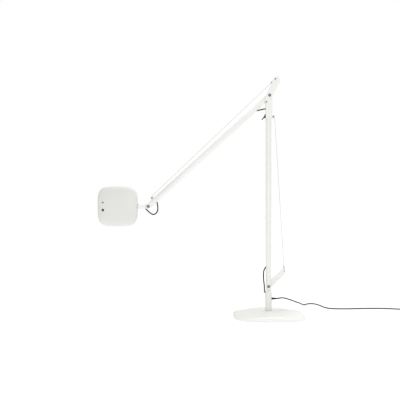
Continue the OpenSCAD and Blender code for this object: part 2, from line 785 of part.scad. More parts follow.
module sensor_window() color("#6f7072") {
    bar_y(sensor_p, sensor_d / 2, -24.6, -19.4);
    bar_y(sensor_p, sensor_d / 2 + 1.5, -19.5, -17.9);
}

module dimmer_button() color("#101011") {
    bar_y(button_p, button_d / 2, -25.4, -18.8);
    bar_y(button_p, button_d / 2 + 1.4, -18.9, -17.8);
    bar_y(button_p, 2, -18, -17.5);
}

base_cover();
base_weight();
base_pad();
base_screws();
swivel_spindle();
thrust_washer();
column_tube();
column_head();
swivel_bushes();
foot_washers();
anchor_pin();
cord_gland();
column_lead();
mains_cord();
cord_coil();
plug_body();
plug_pins();
lower_ferrule();
post_foot();
post_tube();
post_head();
elbow_lever();
lever_pins();
tip_pin();
foot_bolt();
foot_nut();
elbow_bolt();
elbow_nut();
post_roller_axle();
post_spring();
post_spring_pin();
post_lead();
elbow_bumper();
foot_loop();
lower_wire();
post_roller();
upper_ferrule();
arm_root();
arm_tube();
arm_end();
elbow_washers();
arm_spring();
arm_spring_pin();
arm_lead();
arm_roller_axle();
head_bolt();
head_nut();
elbow_loop();
upper_wire();
arm_roller();
neck();
head_washers();
head_loop();
head_shell();
diffuser();
led_board();
heat_spreader();
driver_board();
sensor_window();
dimmer_button();
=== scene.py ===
import bpy
import json
import math
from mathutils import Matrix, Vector


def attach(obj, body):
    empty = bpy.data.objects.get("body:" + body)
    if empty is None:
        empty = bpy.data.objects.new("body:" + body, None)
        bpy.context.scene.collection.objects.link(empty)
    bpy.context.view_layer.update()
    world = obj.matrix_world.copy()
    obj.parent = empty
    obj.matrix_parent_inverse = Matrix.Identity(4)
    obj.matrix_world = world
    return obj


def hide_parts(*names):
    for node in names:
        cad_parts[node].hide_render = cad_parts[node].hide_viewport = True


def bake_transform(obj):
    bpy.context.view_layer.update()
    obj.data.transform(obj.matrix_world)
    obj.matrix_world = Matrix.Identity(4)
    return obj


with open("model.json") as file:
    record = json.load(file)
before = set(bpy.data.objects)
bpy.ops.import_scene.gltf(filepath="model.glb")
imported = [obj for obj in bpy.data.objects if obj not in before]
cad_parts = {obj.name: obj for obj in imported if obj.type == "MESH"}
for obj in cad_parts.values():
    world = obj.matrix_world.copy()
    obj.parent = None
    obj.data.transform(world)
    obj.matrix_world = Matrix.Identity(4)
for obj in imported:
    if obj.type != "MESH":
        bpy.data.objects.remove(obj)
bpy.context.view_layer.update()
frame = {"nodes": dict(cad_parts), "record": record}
nodes = frame["nodes"]
# Blender works in metres. Below, lengths that MM multiplies are in millimetres and the others in metres.
MM = 0.001
# Edges that turn by more than this many degrees stay sharp.
SHARP_TURNED, SHARP_SHELL, SHARP_SEAM, SHARP_CAD = 32, 40, 50, 34

# ---------------------------------------------------------------- camera
camera = bpy.data.objects.new("camera", bpy.data.cameras.new("camera"))
bpy.context.scene.collection.objects.link(camera)
camera.location = (-0.342, -3.55, 0.5825)
camera.rotation_euler = (math.radians(90), 0, 0)
camera.data.lens = 63.9
camera.data.sensor_width = 36
camera.data.clip_end = 200
bpy.context.scene.camera = camera


# ---------------------------------------------------------------- materials
class Graph:
    """Short names for building one node material."""

    def __init__(self, name):
        self.mat = bpy.data.materials.new(name)
        self.mat.use_nodes = True
        self.tree = self.mat.node_tree
        self.bsdf = self.tree.nodes["Principled BSDF"]
        self.coord = self.tree.nodes.new("ShaderNodeTexCoord").outputs["Object"]

    def node(self, kind, **inputs):
        n = self.tree.nodes.new(kind)
        for key, value in inputs.items():
            self.put(n.inputs[key], value)
        return n

    def put(self, socket, value):
        if isinstance(value, bpy.types.NodeSocket):
            self.tree.links.new(value, socket)
        else:
            socket.default_value = value

    def stretched(self, scale):
        return self.node("ShaderNodeMapping", Vector=self.coord, Scale=scale).outputs["Vector"]

    def noise(self, scale, detail=3, rough=0.55, stretch=None):
        where = self.stretched(stretch) if stretch else self.coord
        n = self.node("ShaderNodeTexNoise", Vector=where, Scale=scale, Detail=detail, Roughness=rough)
        return n.outputs["Fac"]

    def ramp(self, fac, low, high, start=0.3, end=0.7):
        r = self.tree.nodes.new("ShaderNodeValToRGB")
        r.color_ramp.elements[0].position, r.color_ramp.elements[0].color = start, (*low, 1)
        r.color_ramp.elements[1].position, r.color_ramp.elements[1].color = end, (*high, 1)
        self.put(r.inputs["Fac"], fac)
        return r.outputs["Color"]

    def range(self, fac, low, high):
        m = self.tree.nodes.new("ShaderNodeMapRange")
        self.put(m.inputs["Value"], fac)
        m.inputs["From Min"].default_value, m.inputs["From Max"].default_value = 0.25, 0.75
        m.inputs["To Min"].default_value, m.inputs["To Max"].default_value = low, high
        return m.outputs["Result"]

    def bump(self, height, strength, distance, under=None):
        b = self.node("ShaderNodeBump", Height=height, Strength=strength, Distance=distance)
        if under:
            self.put(b.inputs["Normal"], under)
        return b.outputs["Normal"]

    def finish(self, color, rough, normal, **fixed):
        self.put(self.bsdf.inputs["Base Color"], color)
        self.put(self.bsdf.inputs["Roughness"], rough)
        self.put(self.bsdf.inputs["Normal"], normal)
        for key, value in fixed.items():
            self.bsdf.inputs[key.replace("_", " ")].default_value = value
        return self.mat


def shade(rgb, k):
    return tuple(c * k for c in rgb)


def coated(name, rgb, rough, grain=1400, strength=0.12, mottle=0.03, **fixed):
    """Powder-coated metal or moulded plastic: fine grain, faint cloudiness, uneven gloss."""
    g = Graph(name)
    color = g.ramp(g.noise(9, 4), shade(rgb, 1 - mottle), shade(rgb, 1 + mottle * 0.4))
    broad = g.bump(g.noise(60, 2), 0.05, 0.0004)
    fine = g.bump(g.noise(grain, 2, 0.6), strength, 0.0001, broad)
    return g.finish(color, g.range(g.noise(35, 4), rough - 0.06, rough + 0.08), fine, **fixed)


def metal(name, rgb, rough, streak, strength=0.15):
    """Machined or drawn metal with streaks along one direction."""
    g = Graph(name)
    lines = g.noise(420, 3, 0.6, streak)
    color = g.ramp(lines, shade(rgb, 0.82), shade(rgb, 1.06))
    return g.finish(color, g.range(lines, rough - 0.08, rough + 0.12),
                    g.bump(lines, strength, 0.00008), Metallic=1.0)


def cable_jacket(name, rgb):
    g = Graph(name)
    color = g.ramp(g.noise(70, 4), shade(rgb, 0.75), shade(rgb, 1.3))
    fine = g.bump(g.noise(1800, 2), 0.15, 0.0001)
    return g.finish(color, g.range(g.noise(120, 3), 0.45, 0.62), fine, Specular_IOR_Level=0.2)


WHITE = coated("white_coat", (0.84, 0.842, 0.81), 0.4, Specular_IOR_Level=0.45)
# The base's white is a material of its own, apart from the arms' white. It is made lighter than that white
# as painted light: the extra lightness stands in for more light falling on the base.
BASE_WHITE_PAINTED_LIGHT = coated("base_coat_painted_light", (0.885, 0.887, 0.857), 0.42, grain=1100, strength=0.16,
                 Specular_IOR_Level=0.45)
SHELL = coated("head_shell", (0.745, 0.752, 0.722), 0.5, grain=2200, strength=0.2, mottle=0.02)
OPAL = coated("diffuser", (0.9, 0.89, 0.85), 0.42, grain=700, strength=0.35, Subsurface_Weight=0.15,
              Subsurface_Scale=0.004)
BUSH = coated("bush", (0.74, 0.72, 0.66), 0.5)
DARK = coated("dark_plastic", (0.035, 0.035, 0.037), 0.45, mottle=0.15)
GLOSS = coated("button", (0.012, 0.012, 0.013), 0.25, strength=0.04, mottle=0.1, Coat_Weight=0.4)
WINDOW = coated("sensor", (0.12, 0.12, 0.12), 0.22, strength=0.03, Coat_Weight=0.6)
BOARD = coated("circuit_board", (0.07, 0.2, 0.1), 0.45, grain=500, mottle=0.2)
RUBBER = coated("rubber", (0.007, 0.007, 0.0075), 0.66, grain=900, strength=0.3, mottle=0.2,
                Specular_IOR_Level=0.25)
CABLE = cable_jacket("cable", (0.005, 0.005, 0.0055))
STEEL = metal("steel", (0.5, 0.51, 0.53), 0.34, (1, 1, 14))
TURNED = metal("turned_steel", (0.21, 0.208, 0.2), 0.42, (1, 12, 1))
WIRE = metal("wire_rope", (0.5, 0.5, 0.48), 0.45, (5, 5, 1), 0.4)
IRON = coated("cast_iron", (0.14, 0.145, 0.15), 0.7, grain=350, strength=0.5, mottle=0.25)
ALLOY = metal("aluminium", (0.68, 0.69, 0.71), 0.4, (1, 9, 1))

LOOK = {
    "white_coat": BASE_WHITE_PAINTED_LIGHT, "white_alloy": WHITE, "head_shell": SHELL, "diffuser": OPAL, "steel": STEEL,
    "ballast": IRON, "bush": BUSH, "black_rubber": RUBBER, "cable": CABLE, "black_plastic": DARK,
    "grey_window": WINDOW, "aluminium": ALLOY, "circuit_board": BOARD,
}
SLOT_OF = {s["node"]: s["material_slot"] for s in frame["record"]["subparts"]}


# ---------------------------------------------------------------- mesh helpers
def place(obj, body, material, replaced=()):
    """Links a piece, gives it its finish and lets it ride on a body, unless body is None."""
    if obj.name not in bpy.context.scene.collection.objects:
        bpy.context.scene.collection.objects.link(obj)
    obj.data.materials.clear()
    obj.data.materials.append(material)
    if body:
        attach(obj, body)
    if replaced:
        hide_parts(*replaced)
    return obj


def new_mesh(name, verts, faces):
    mesh = bpy.data.meshes.new(name)
    mesh.from_pydata([tuple(v) for v in verts], [], faces)
    mesh.validate()
    mesh.shade_smooth()
    return bpy.data.objects.new(name, mesh)


def skin(name, rings, closed_loop=False):
    """A surface through rings of equal size, capped, or with its last ring joined to its first."""
    n, m = len(rings[0]), len(rings)
    verts = [p for ring in rings for p in ring]
    faces = []
    for i in range(m if closed_loop else m - 1):
        a, b = i * n, (i + 1) % m * n
        faces += [(a + k, a + (k + 1) % n, b + (k + 1) % n, b + k) for k in range(n)]
    if not closed_loop:
        faces += [tuple(range(n - 1, -1, -1)), tuple(range((m - 1) * n, m * n))]
    return new_mesh(name, verts, faces)


def smooth_path(points, steps):
    """Catmull-Rom through the points."""
    pts = [Vector(p) for p in points]
    out = []
    for i in range(len(pts) - 1):
        a, b = pts[max(i - 1, 0)], pts[i]
        c, d = pts[i + 1], pts[min(i + 2, len(pts) - 1)]
        for s in range(steps):
            t = s / steps
            out.append(0.5 * (2 * b + (c - a) * t + (2 * a - 5 * b + 4 * c - d) * t * t
                              + (3 * b - a - 3 * c + d) * t ** 3))
    return out + [pts[-1]]


def tube_rings(path, radius, sides):
    """Rings across the path, on a frame that is carried along it."""
    path = [Vector(p) for p in path]
    tangents = [(path[min(i + 1, len(path) - 1)] - path[max(i - 1, 0)]).normalized()
                for i in range(len(path))]
    side = tangents[0].orthogonal().normalized()
    rings = []
    for p, t in zip(path, tangents):
        side = (side - side.dot(t) * t).normalized()
        up = t.cross(side)
        rings.append([p + radius * (math.cos(a) * side + math.sin(a) * up)
                      for a in (2 * math.pi * k / sides for k in range(sides))])
    return rings


def tube(name, path, radius, sides):
    return skin(name, tube_rings(path, radius, sides))


def turned(name, profile, origin, axis, sides=40):
    """A body of revolution: profile is [(distance along the axis, radius)]."""
    axis = Vector(axis).normalized()
    side = axis.orthogonal().normalized()
    up = axis.cross(side)
    rings = [[Vector(origin) + axis * d + r * (math.cos(a) * side + math.sin(a) * up)
              for a in (2 * math.pi * k / sides for k in range(sides))] for d, r in profile]
    obj = skin(name, rings)
    obj.data.set_sharp_from_angle(angle=math.radians(SHARP_TURNED))
    return obj


def bulge(q):
    """How far a square with rounded, bulging sides reaches at angle q, as a share of its half-width."""
    return (math.cos(q) ** 4 + math.sin(q) ** 4) ** -0.25


def between(stations, x):
    """Monotone smooth interpolation through [(x, y)] stations."""
    n = len(stations)
    xs, ys = [s[0] for s in stations], [s[1] for s in stations]
    slope = [(ys[i + 1] - ys[i]) / (xs[i + 1] - xs[i]) for i in range(n - 1)]
    m = [slope[0]] + [0 if slope[i - 1] * slope[i] <= 0 else
                      2 * slope[i - 1] * slope[i] / (slope[i - 1] + slope[i])
                      for i in range(1, n - 1)] + [slope[-1]]
    i = max(k for k in range(n - 1) if xs[k] <= x or k == 0)
    h = xs[i + 1] - xs[i]
    t = (x - xs[i]) / h
    return ((2 * t ** 3 - 3 * t * t + 1) * ys[i] + (t ** 3 - 2 * t * t + t) * h * m[i]
            + (3 * t * t - 2 * t ** 3) * ys[i + 1] + (t ** 3 - t * t) * h * m[i + 1])


# ---------------------------------------------------------------- mains lead
CORD_D = 0.006
MAINS_MM = [
    (17, 0, 90), (26, 0, 90), (35, 0, 90), (44, 0, 90.4), (54, 3, 91.6), (63, 10, 91.8), (69, 21, 90.7),
    (73, 34, 88.8), (77, 50, 86.4), (85, 70, 83), (98, 88, 79),
    (112, 104, 72), (126, 124, 66), (137, 144, 60), (148, 165, 54), (159, 187, 48), (169, 208, 42),
    (182, 240, 35), (194, 274, 27), (206, 306, 19), (219, 337, 11), (231, 364, 5), (243, 389, 3.3),
    (256, 408, 3.2), (272, 418, 3.2), (288, 416, 3.2), (300, 403, 3.2), (309, 382, 3.2),
    (315, 355, 3.2), (321, 325, 3.2), (327, 295, 3.2), (337, 265, 3.2), (354, 244, 3.2),
    (380, 234, 3.2), (420, 230, 3.2), (470, 234, 3.2), (530, 242, 3.2), (590, 246, 3.2),
    (640, 242, 3.2), (690, 228, 3.2), (730, 213, 3.2), (766, 204, 3.2),
]
COIL_C = (803, 245)
COIL_LOW, COIL_HIGH = 3.6, 9.8
COIL_OUT, COIL_IN = 43.7, 25.6
TURNS_LOW, TURNS_CLIMB, TURNS_HIGH = 3, 0.25, 2.75
PER_TURN = 18
PLUG = Vector((873, 201.6, 6.8))
PLUG_HALF_X, PLUG_HALF_Y, PLUG_HALF_Z = 18, 13, 6.8
SLEEVE_X = 22
SLEEVE_START = PLUG - Vector((PLUG_HALF_X + SLEEVE_X, 0, 0))


def coil_points():
    """Three turns inwards on the floor, a short climb, and back outwards on top of them."""
    out = []
    total = TURNS_LOW + TURNS_CLIMB + TURNS_HIGH
    for k in range(round(total * PER_TURN) + 1):
        turn = k / PER_TURN
        climb = min(max((turn - TURNS_LOW) / TURNS_CLIMB, 0), 1)
        if turn < TURNS_LOW:
            r = COIL_OUT + (COIL_IN - COIL_OUT) * turn / TURNS_LOW
        else:
            r = COIL_IN + (COIL_OUT - COIL_IN) * max(turn - TURNS_LOW - TURNS_CLIMB, 0) / TURNS_HIGH
        a = 2 * math.pi * turn - math.pi / 2
        ease = climb * climb * (3 - 2 * climb)
        out.append((COIL_C[0] + r * math.cos(a), COIL_C[1] + r * math.sin(a),
                    COIL_LOW + (COIL_HIGH - COIL_LOW) * ease))
    return out


INTO_SLEEVE = Vector((2, 0, 0))
route = MAINS_MM + coil_points() + [SLEEVE_START + INTO_SLEEVE]
route_m = [Vector(p) * MM for p in route]
curve = bpy.data.curves.new("mains_lead", "CURVE")
curve.dimensions = "3D"
curve.bevel_depth = CORD_D / 2
curve.bevel_resolution = 5
curve.resolution_u = 5
curve.use_fill_caps = True
spline = curve.splines.new("BEZIER")
spline.bezier_points.add(len(route_m) - 1)
for bez, p in zip(spline.bezier_points, route_m):
    bez.co = p
    bez.handle_left_type = bez.handle_right_type = "AUTO"
mains = place(bpy.data.objects.new("mains_lead", curve), "column", CABLE,
              ("mains_cord", "cord_coil"))


def squarish(power, count):
    """Points round a circle, pulled out towards the corners of a square."""
    return [(math.copysign(abs(math.cos(a)) ** power, math.cos(a)),
             math.copysign(abs(math.sin(a)) ** power, math.sin(a)))
            for a in (2 * math.pi * k / count for k in range(count))]


# plug: lofted body with grip ridges, and a ribbed sleeve
PLUG_WIDTHS = [(0, 0.62), (0.03, 0.72), (0.09, 0.8), (0.2, 0.86), (0.28, 0.9), (0.34, 0.84), (0.40, 0.9),
               (0.46, 0.84), (0.52, 0.9), (0.58, 0.84), (0.64, 0.92), (0.75, 0.98), (0.93, 1),
               (0.98, 0.97), (1, 0.92)]
body_rings = [[(PLUG + Vector((PLUG_HALF_X * (2 * t - 1), PLUG_HALF_Y * grow * y,
                               PLUG_HALF_Z * (0.5 + 0.5 * grow) * z))) * MM
               for y, z in squarish(0.55, 48)] for t, grow in PLUG_WIDTHS]
plug = place(skin("plug", body_rings), "column", DARK, ("plug_body",))
sleeve_profile = [(0, 0.0031), (0.0008, 0.0036)]
for k in range(5):
    at, r = 0.0015 + 0.004 * k, 0.0039 + 0.0003 * k
    sleeve_profile += [(at, r), (at + 0.0024, r), (at + 0.0027, r - 0.0006), (at + 0.0036, r - 0.0006)]
sleeve_profile += [(0.0222, 0.0055), (0.0228, 0.005)]
plug_sleeve = place(turned("plug_sleeve", sleeve_profile, SLEEVE_START * MM, (1, 0, 0)),
                    "column", DARK)

# the tie round the coil's windings
TIE_AT = math.radians(100)
TIE_HALF_WIDTH = 3
TIE_MIDDLE_Z = (COIL_LOW + COIL_HIGH) / 2
TIE_INSIDE, TIE_OUTSIDE = (12.7, 6.2), (13.3, 6.6)
tie_out = Vector((math.cos(TIE_AT), math.sin(TIE_AT), 0))
tie_along = tie_out.cross(Vector((0, 0, 1)))
tie_c = Vector((COIL_C[0], COIL_C[1], TIE_MIDDLE_Z)) + tie_out * (COIL_OUT + COIL_IN) / 2
tie_rings = []
for along, (half_x, half_z) in ((-TIE_HALF_WIDTH, TIE_INSIDE), (-TIE_HALF_WIDTH, TIE_OUTSIDE),
                                (TIE_HALF_WIDTH, TIE_OUTSIDE), (TIE_HALF_WIDTH, TIE_INSIDE)):
    tie_rings.append([(tie_c + tie_along * along + tie_out * half_x * x + Vector((0, 0, half_z * z))) * MM
                      for x, z in squarish(0.5, 40)])
tie = place(skin("lead_tie", tie_rings, closed_loop=True), "column", RUBBER)

# strain relief at the column
relief = [(0, 0.0045), (0.0041, 0.0045), (0.0041, 0.0058), (0.0046, 0.0062), (0.006, 0.0062),
          (0.0065, 0.0057)]
for k in range(5):
    at, r = 0.0068 + 0.0036 * k, 0.0053 - 0.0003 * k
    relief += [(at, r), (at + 0.0022, r - 0.0001), (at + 0.0024, r - 0.0009), (at + 0.0034, r - 0.0009)]
relief += [(0.0258, 0.0037), (0.0264, 0.0031)]
place(turned("lead_relief", relief, (0.0125, 0, 0.09), (1, 0, 0)),
      "column", RUBBER, ("cord_gland",))

# ---------------------------------------------------------------- base
BASE_HALF, BASE_TOP, LIP = 175, 30, 6
CROWN_DROP, CORNER_DROP, CORNER_XY = 6, 7.5, 15312
EDGE_FROM, EDGE_WIDTH, EDGE_POWER = 0.88, 0.12, 2.2


def base_ring(rho, inset, z=None, sides=192):
    """A ring at rho of the way out: level at z, or on the crowned top where z is None."""
    ring = []
    for k in range(sides):
        q = 2 * math.pi * k / sides
        a = (BASE_HALF - inset) * bulge(q)
        x, y = rho * a * math.cos(q), rho * a * math.sin(q)
        if z is None:
            crown = (BASE_TOP - CROWN_DROP * (math.hypot(x, y) / BASE_HALF) ** 2
                     - CORNER_DROP * (abs(x * y) / CORNER_XY) ** 1.5)
            t = max(0, (rho - EDGE_FROM) / EDGE_WIDTH)
            fall = max(0, 1 - t ** EDGE_POWER) ** (1 / EDGE_POWER)
            ring.append(Vector((x, y, LIP + (crown - inset - LIP) * fall)) * MM)
        else:
            ring.append(Vector((x, y, z)) * MM)
    return ring


TOP_SHARES = (0.052, 0.12, 0.2, 0.3, 0.4, 0.5, 0.6, 0.7, 0.78, 0.84, 0.87, 0.89, 0.905, 0.92, 0.935,
              0.95, 0.962, 0.972, 0.98, 0.986, 0.991, 0.995, 0.998, 0.9994, 1)
rings = [base_ring(r, 0) for r in TOP_SHARES]
rings += [base_ring(1, i, z) for i, z in ((0, 5), (0, 3.2), (0.3, 2.4), (1, 2), (4, 2), (4.2, 3))]
rings += [base_ring(r, 2.5) for r in (0.985, 0.95, 0.88, 0.6, 0.3, 0.053)]
place(skin("base_cover_smooth", rings[::-1], closed_loop=True), "base", BASE_WHITE_PAINTED_LIGHT,
      ("base_cover",))

# ---------------------------------------------------------------- head
WRIST = Vector((-599.805, 0, 550.340))
HEAD = WRIST - Vector((154, 0, 0))
HEAD_W, HEAD_H = 201, 200
SENSOR = HEAD + Vector((-71, 0, 19.5))
BUTTON = HEAD + Vector((-71, 0, -18))
SHELL_T = 2.2
# (share of the way out, y) on the shell's face
SHELL_Y = [(0, -28), (0.3, -27.9), (0.5, -27), (0.66, -24.9), (0.78, -22.2), (0.87, -18.6),
           (0.94, -13.8), (0.985, -7.5), (1, 0)]


def head_ring(y, share, inset=0, sides=160):
    """A ring of the head's outline at y, at a share of its size and drawn in by inset."""
    ring = []
    for k in range(sides):
        q = 2 * math.pi * k / sides
        b = bulge(q)
        ring.append(Vector((HEAD.x + (share * HEAD_W / 2 - inset) * b * math.cos(q), y,
                            HEAD.z + (share * HEAD_H / 2 - inset) * b * math.sin(q))) * MM)
    return ring


outer = [head_ring(between(SHELL_Y, s), s) for s in
         (0.02, 0.12, 0.25, 0.4, 0.52, 0.62, 0.7, 0.76, 0.81, 0.85, 0.88, 0.905, 0.925, 0.94, 0.953,
          0.965, 0.975, 0.983, 0.99, 0.995, 0.998)]
sides_y = [(0, 1), (4, 0.998), (8, 0.993), (11, 0.985), (14, 0.975), (16, 0.963), (17, 0.953)]
outer += [head_ring(y, s) for y, s in sides_y]
inner = [head_ring(y, s, SHELL_T) for y, s in ((17, 0.956), (14, 0.975), (8, 0.993), (0, 1))]
inner += [head_ring(between(SHELL_Y, s) + SHELL_T, s, SHELL_T)
          for s in (0.985, 0.94, 0.87, 0.78, 0.66, 0.5, 0.3, 0.05)]
shell = place(skin("head_shell_smooth", outer + inner), "head", SHELL, ("head_shell",))


def cutter(name, start, axis, radius, length):
    """A bar that a boolean takes out of the shell."""
    obj = turned(name, [(0, radius * MM), (length * MM, radius * MM)], start * MM, axis, 48)
    bpy.context.scene.collection.objects.link(obj)
    return obj


def carve(obj, tools):
    """Takes the tools out of obj for good."""
    for tool in tools:
        mod = obj.modifiers.new("cut", "BOOLEAN")
        mod.operation, mod.solver, mod.object = "DIFFERENCE", "EXACT", tool
    bpy.context.view_layer.update()
    cut = bpy.data.meshes.new_from_object(obj.evaluated_get(bpy.context.evaluated_depsgraph_get()))
    obj.modifiers.clear()
    obj.data = cut
    for tool in tools:
        bpy.data.objects.remove(tool)


BUTTON_HOLE_R, SENSOR_HOLE_R, NECK_HOLE_R = 6.6, 4.25, 8.6
FACE_CUT, NECK_CUT = 35, 20
ahead, beside = Vector((0, -FACE_CUT, 0)), Vector((90, 0, 0))
carve(shell, [cutter("tool_button", BUTTON + ahead, (0, 1, 0), BUTTON_HOLE_R, FACE_CUT),
              cutter("tool_sensor", SENSOR + ahead, (0, 1, 0), SENSOR_HOLE_R, FACE_CUT),
              cutter("tool_neck", HEAD + beside, (1, 0, 0), NECK_HOLE_R, NECK_CUT)])
shell.data.set_sharp_from_angle(angle=math.radians(SHARP_SHELL))

# diffuser: slightly crowned panel with a rounded rim
panel = [head_ring(y, share) for y, share in (
    (11.5, 0.04), (11.5, 0.5), (11.5, 0.9), (11.5, 0.92), (13, 0.923), (15, 0.921), (15.8, 0.917),
    (16.3, 0.91), (16.6, 0.9), (16.75, 0.88), (16.85, 0.8), (16.9, 0.5), (16.95, 0.04))]
place(skin("diffuser_panel", panel), "head", OPAL, ("diffuser",))

# button: dished cap with a chamfered rim
BUTTON_FACE, SENSOR_FACE = Vector((0, -25.2, 0)), Vector((0, -24.6, 0))
button_profile = [(0, 0.0001), (0, 0.003), (-0.0002, 0.0046), (-0.0004, 0.0054), (0.0001, 0.0061),
                  (0.0006, 0.0062), (0.0063, 0.0062), (0.0063, 0.0076), (0.0074, 0.0076), (0.0074, 0.002),
                  (0.0077, 0.002)]
place(turned("button_cap", button_profile, (BUTTON + BUTTON_FACE) * MM, (0, 1, 0), 56),
      "button", GLOSS, ("dimmer_button",))
# small window: domed, with a flange behind the shell
sensor_profile = [(-0.0002, 0.0001), (0, 0.002), (0.0003, 0.0033), (0.0009, 0.0041), (0.0012, 0.0042),
                  (0.0051, 0.0042), (0.0051, 0.0057), (0.0067, 0.0057)]
place(turned("sensor_lens", sensor_profile, (SENSOR + SENSOR_FACE) * MM, (0, 1, 0), 48),
      "head", WINDOW, ("sensor_window",))

# ---------------------------------------------------------------- cable loops
def in_plane(points):
    return [Vector((x, 0, z)) * MM for x, z in points]


def blend_part(piece):
    """Bakes the piece's placement into its mesh and leaves the piece at the origin."""
    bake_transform(piece)


FOOT_LOOP = [(-6, 256), (-11.5, 248.5), (-17, 241), (-22, 231), (-24, 218), (-24.5, 203), (-24, 185),
             (-22, 168), (-20.5, 152), (-20, 138), (-20, 127), (-16.5, 120), (-12, 114.5), (-7.5, 109)]
ELBOW_LOOP = [(-66, 1029.5), (-54.5, 1030), (-42, 1032.5), (-30, 1035.5), (-20, 1037.5), (-12, 1038),
              (-6, 1035), (-2, 1028), (0, 1019)]
HEAD_LOOP = [(-562, 582), (-557, 571), (-554.5, 558), (-553, 546), (-553, 535), (-556, 524.5),
             (-562, 516), (-571, 511), (-580, 511), (-589, 516.5), (-597, 522.5), (-604.5, 530),
             (-612, 537), (-619, 543)]
LOOP_STEPS, LOOP_SIDES = 6, 16
for name, points, a, b, start, end in (
        ("foot_loop", FOOT_LOOP, "post", "column", (-0.02, 0, 0.23), (-0.02, 0, 0.125)),
        ("elbow_loop", ELBOW_LOOP, "arm", "post", (-0.062, 0, 1.03), (-0.006, 0, 1.03))):
    loop = tube(name + "_lead", smooth_path(in_plane(points), LOOP_STEPS), CORD_D / 2, LOOP_SIDES)
    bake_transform(place(loop, None, CABLE, (name,)))

# The head turns by up to 100 degrees, and its loop is cut into parts at even steps along the path. A share
# of that turn is worked out along the lead, more where it runs round the pivot and less where it runs
# towards the pivot and would be pinched, but the parts don't take it.
# Each part also reaches one slightly thinner ring into its neighbours, so that no gap opens at a seam.
LOOP_PARTS = 8
KEEP_LEAST = 0.25
SEAM_SHARE = 0.96
path = smooth_path(in_plane(HEAD_LOOP), LOOP_STEPS)
loop_rings = tube_rings(path, CORD_D / 2, LOOP_SIDES)
share = [0]
for p, q in zip(path, path[1:]):
    reach, run = (p + q) / 2 - WRIST * MM, q - p
    across = abs(reach.cross(run).y)
    share.append(share[-1] + across / reach.length_squared
                 * (KEEP_LEAST + (across / reach.length / run.length) ** 2))
share = [s / share[-1] for s in share]
edges = [round(k * (len(path) - 1) / LOOP_PARTS) for k in range(LOOP_PARTS + 1)]
thinner = [[c + (v - c) * SEAM_SHARE for v in ring] for c, ring in zip(path, loop_rings)]
for k, (m, n) in enumerate(zip(edges, edges[1:])):
    rings = thinner[max(m - 1, 0):m] + loop_rings[m:n + 1] + thinner[n + 1:n + 2]
    part = place(skin("head_loop_lead_%d" % (k + 1), rings), None, CABLE,
                 ("head_loop",) if k == 0 else ())
    part.data.set_sharp_from_angle(angle=math.radians(SHARP_SEAM))
    blend_part(part)

# ---------------------------------------------------------------- steel wires
WIRE_R, WIRE_SIDES, CUT_STEPS = 0.0007, 10, 12
ELBOW = Vector((5.5, 0, 1105))
ANCHOR = Vector((79, 0, 228))
TIP = Vector((33, 0, 1186))
POST_ROLLER, POST_PITCH = Vector((23.5, 0, 997.5)), 7.5
ARM_ROLLER, ARM_PITCH = Vector((-581.540, 0, 592.576)), 7.1
DROP = math.radians(42.5)


def rounded(centre, radius, a0, a1, n=14):
    """Points on an arc in the arms' plane, angles in degrees from +X towards +Z."""
    return [centre + radius * Vector((math.cos(a), 0, math.sin(a)))
            for a in (math.radians(a0 + (a1 - a0) * k / n) for k in range(n + 1))]


def stretch_wire(name, a, b, cuts):
    """A straight wire from a to b across one joint, in pieces cut at the given shares of its length."""

    for i, (s0, s1) in enumerate(zip(cuts, cuts[1:])):
        p0, p1 = a + s0 * (b - a), a + s1 * (b - a)
        points = [(p0 + (p1 - p0) * k / CUT_STEPS) * MM for k in range(CUT_STEPS + 1)]
        piece = tube("%s_%d" % (name, i + 1), points, WIRE_R, WIRE_SIDES)
        place(piece, None, WIRE)
        blend_part(piece)


low_end = POST_ROLLER + Vector((POST_PITCH, 0, 0))
# Shares of the wire's length; the first lies in its ferrule.
LOWER_CUTS = (0.0185, 0.04, 0.07, 0.12, 0.2, 0.34, 0.58, 0.999)
stretch_wire("lower_wire", ANCHOR, low_end, LOWER_CUTS)
low_turn = smooth_path([p * MM for p in [low_end] + rounded(POST_ROLLER, POST_PITCH, 8, 165)
                        + [Vector((0.4, 0, 949.5))]], 2)
place(tube("lower_wire_turn", low_turn, WIRE_R, WIRE_SIDES), "post", WIRE, ("lower_wire",))

# The upper wire's long part swings with its end and the rest stays on the arm. They overlap by a hundredth
# of the straight run.
arm_dir = Vector((-math.cos(DROP), 0, -math.sin(DROP)))
arm_up = Vector((-math.sin(DROP), 0, math.cos(DROP)))
up_line = ARM_ROLLER + ARM_PITCH * arm_up - TIP
FIRST_SHARE, NEAR_SHARE, FAR_SHARE, NEAR_STEPS = 0.016, 0.885, 0.875, 30
near = [(TIP + up_line * (FIRST_SHARE + (NEAR_SHARE - FIRST_SHARE) * k / NEAR_STEPS)) * MM
        for k in range(NEAR_STEPS + 1)]
place(tube("upper_wire_near", near, WIRE_R, WIRE_SIDES), "upper_wire_end", WIRE)
ROLLER_TOP, ROLLER_WRAP = 90 + math.degrees(DROP), 172
far = [TIP + up_line * s for s in (FAR_SHARE, 0.93, 0.96, 0.985)]
far += rounded(ARM_ROLLER, ARM_PITCH, ROLLER_TOP, ROLLER_TOP + ROLLER_WRAP)
far += [ELBOW + 757 * arm_dir + 6 * arm_up, ELBOW + 695.7 * arm_dir]  # into the tube, to the spring
place(tube("upper_wire_far", smooth_path([p * MM for p in far], 2), WIRE_R, WIRE_SIDES), "arm",
      WIRE, ("upper_wire",))


# ---------------------------------------------------------------- springs inside the tubes
SPRING_PITCH, SPRING_R, SPRING_WIRE_R = 0.0024, 0.0056, 0.0008
SPRING_STEPS, SPRING_SIDES = 12, 6
SPRING_END = 0.04  # share of the length over which an end is drawn in


